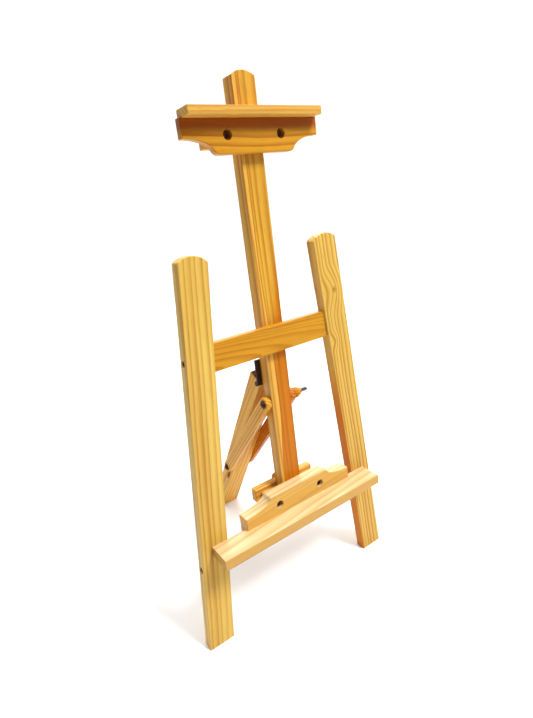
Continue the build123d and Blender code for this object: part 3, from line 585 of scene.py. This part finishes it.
def turned(name, start, axis, profile, materials):
    """Solid turned about axis from start.

    The profile lists (distance along the axis, radius, material number) in mm, end to end.
    """
    side = axis.orthogonal().normalized()
    other = axis.cross(side)
    spokes = []
    for step in range(SPOKES):
        angle = radians(360 * step / SPOKES)
        spokes.append(side * cos(angle) + other * sin(angle))
    shape = bmesh.new()
    loops = []
    for along, radius, _ in profile:
        centre = start + axis * along * MM
        loops.append([shape.verts.new(centre + spoke * radius * MM) for spoke in spokes])
    for (_, _, number), near, far in zip(profile, loops, loops[1:]):
        for step in range(SPOKES):
            after = (step + 1) % SPOKES
            face = shape.faces.new((near[step], near[after], far[after], far[step]))
            face.material_index = number
            face.smooth = True
    shape.faces.new(list(reversed(loops[0]))).material_index = profile[0][2]
    shape.faces.new(loops[-1]).material_index = profile[-1][2]
    mesh = bpy.data.meshes.new(name)
    shape.to_mesh(mesh)
    shape.free()
    for material in materials:
        mesh.materials.append(material)
    piece = bpy.data.objects.new(name, mesh)
    bpy.context.scene.collection.objects.link(piece)
    split = piece.modifiers.new("crisp_edges", "EDGE_SPLIT")
    split.split_angle = radians(CRISP_ANGLE)
    return piece


def stand_for(piece, node, body):
    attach(piece, body)
    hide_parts(node)


def thread(start, end, number):
    """Profile of a threaded length: a stack of V grooves with a chamfered end."""
    points = []
    for turn in range(int((end - start) / THREAD_PITCH) - 1):
        crest = start + turn * THREAD_PITCH
        points.append((crest, BOLT_RADIUS, number))
        points.append((crest + THREAD_PITCH / 2, BOLT_RADIUS - THREAD_DEPTH, number))
    points.append((end - THREAD_CHAMFER, BOLT_RADIUS, number))
    points.append((end, BOLT_RADIUS - THREAD_CHAMFER, number))
    return points


HEAD_HEIGHT = 3.0
HEAD_RADIUS = 5.0
DOME_STEPS = 8
CROWN_RADIUS = 0.2
THREADED_END = 26.0
THREAD_RUNOUT = 0.2


def domed_head():
    """Profile of a low dome from its crown down to its rim."""
    points = []
    for step in range(DOME_STEPS + 1):
        angle = radians(90 * step / DOME_STEPS)
        radius = max(HEAD_RADIUS * sin(angle), CROWN_RADIUS)
        points.append((HEAD_HEIGHT * (1 - cos(angle)), radius, 0))
    return points


def cross_bolt(node, body):
    """Bolt lying across the easel: a dark domed head at its left end, a threaded right end."""
    low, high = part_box(node)
    start = Vector((low.x, middle(node).y, middle(node).z))
    length = (high.x - low.x) / MM
    plain_end = length - THREADED_END
    profile = domed_head()
    profile += [(HEAD_HEIGHT, BOLT_RADIUS, 1), (plain_end, BOLT_RADIUS, 1)]
    profile += thread(plain_end + THREAD_RUNOUT, length, 1)
    piece = turned(node + "_turned", start, ACROSS, profile, [HEAD_METAL, BOLT_METAL])
    stand_for(piece, node, body)


cross_bolt("upper_bolt", "frame")
cross_bolt("lower_bolt", "struts")


def clamp_ends(node):
    """Back and front end points of a round node that lies along FORWARD."""
    low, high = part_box(node)
    size = high - low
    radius = size.x / 2
    length = (size.y - 2 * radius * abs(FORWARD.z)) / abs(FORWARD.y)
    reach = FORWARD * length / 2
    return middle(node) - reach, middle(node) + reach


def clamp_bolt(node, body):
    """Fully threaded clamp bolt."""
    back, front = clamp_ends(node)
    length = (front - back).length / MM
    piece = turned(node + "_turned", back, FORWARD, thread(0, length, 0), [BOLT_METAL])
    stand_for(piece, node, body)


# outline of a turned knob, as shares of its height and of its radius: a grip with one groove
# that tapers towards its tip
KNOB_OUTLINE = (
    (0.00, 0.86), (0.05, 0.95), (0.13, 1.00), (0.24, 1.00), (0.27, 0.94), (0.30, 1.00),
    (0.45, 1.00), (0.52, 0.96), (0.60, 0.90), (0.72, 0.80), (0.90, 0.68), (0.97, 0.62),
)


def wooden_knob(node, body, start, end, radius, bore):
    """Turned wooden knob from start to its tapered end; bore is the hole's radius in mm."""
    height = (end - start).length / MM
    profile = [(0.0, bore, 0)]
    profile += [(share * height, width * radius, 0) for share, width in KNOB_OUTLINE]
    profile += [(height, bore, 0)]
    piece = turned(node + "_turned", start, (end - start).normalized(), profile, [pines[node]])
    stand_for(piece, node, body)


UPPER_KNOB_BORE = 4.0
CLAMP_KNOB_BORE = 2.6
CLAMP_KNOB_LENGTH = 14.0

knob_low, knob_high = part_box("upper_knob")
knob_middle = middle("upper_knob")
knob_start = Vector((knob_low.x, knob_middle.y, knob_middle.z))
knob_end = Vector((knob_high.x, knob_middle.y, knob_middle.z))
knob_radius = (knob_high.z - knob_low.z) / 2 / MM
wooden_knob("upper_knob", "upper_knob", knob_start, knob_end, knob_radius, UPPER_KNOB_BORE)

for body in ("tray_clamp", "holder_clamp"):
    clamp_bolt(body + "_bolt", body)
    knob = body + "_knob"
    grip_low, grip_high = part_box(knob)
    grip_radius = (grip_high.x - grip_low.x) / 2 / MM
    tip, _ = clamp_ends(body + "_bolt")
    base = tip + FORWARD * CLAMP_KNOB_LENGTH * MM
    wooden_knob(knob, body, base, tip, grip_radius, CLAMP_KNOB_BORE)

# ---- floor and light ----

FLOOR_REACH = 1.6
FLOOR_SIDES = 96
FLOOR_GREYS = ((0.84, 0.84, 0.84, 1), (0.90, 0.90, 0.90, 1))


def make_floor():
    mesh = bpy.data.meshes.new("floor")
    shape = bmesh.new()
    bmesh.ops.create_circle(shape, cap_ends=True, segments=FLOOR_SIDES, radius=FLOOR_REACH)
    shape.to_mesh(mesh)
    shape.free()
    floor = bpy.data.objects.new("floor", mesh)
    bpy.context.scene.collection.objects.link(floor)
    shader = Shader("floor_paper")
    place_on = shader.add("ShaderNodeTexCoord").outputs["Object"]
    tone = shader.noise(place_on, 1.4, detail=2.0)
    colour = shader.mix(tone, *FLOOR_GREYS)
    shader.set(Base_Color=colour, Roughness=0.9, Specular_IOR_Level=0.1)
    dress(floor, shader.material)


LIGHT_AIM = Vector((0, 0, 0.35))


def soft_light(name, at, size, power):
    data = bpy.data.lights.new(name, "AREA")
    data.shape = "DISK"
    data.size = size
    data.energy = power
    light = bpy.data.objects.new(name, data)
    bpy.context.scene.collection.objects.link(light)
    light.location = at
    aim = LIGHT_AIM - Vector(at)
    light.rotation_euler = aim.to_track_quat("-Z", "Y").to_euler()


# where the sky is brightest, the cosines to that way over which it fades in, and its
# brightness before and after
SKY_WAY = (0.70, 0.55, 0.45)
SKY_FADE = (-0.25, 0.46)
SKY_RANGE = (0.10, 1.08)


def make_world():
    """Even white light from above, behind and the right, fading to a dimmer front left."""
    world = bpy.data.worlds.new("studio")
    world.use_nodes = True
    tree = world.node_tree
    way = tree.nodes.new("ShaderNodeTexCoord")
    facing = tree.nodes.new("ShaderNodeVectorMath")
    facing.operation = "DOT_PRODUCT"
    facing.inputs[1].default_value = SKY_WAY
    fade = tree.nodes.new("ShaderNodeMapRange")
    fade.interpolation_type = "SMOOTHSTEP"
    for end, value in zip(("From Min", "From Max", "To Min", "To Max"), SKY_FADE + SKY_RANGE):
        fade.inputs[end].default_value = value
    tree.links.new(way.outputs["Generated"], facing.inputs[0])
    tree.links.new(facing.outputs["Value"], fade.inputs["Value"])
    tree.links.new(fade.outputs[0], tree.nodes["Background"].inputs["Strength"])
    tree.nodes["Background"].inputs["Color"].default_value = (1, 1, 1, 1)
    bpy.context.scene.world = world


make_floor()
make_world()
soft_light("key", at=(0.9, -1.25, 2.7), size=0.8, power=76.0)
soft_light("back", at=(1.2, 1.9, 1.7), size=1.6, power=30.0)
soft_light("top", at=(-0.2, 0.2, 2.6), size=1.4, power=16.0)
bpy.context.scene.view_settings.view_transform = "Standard"
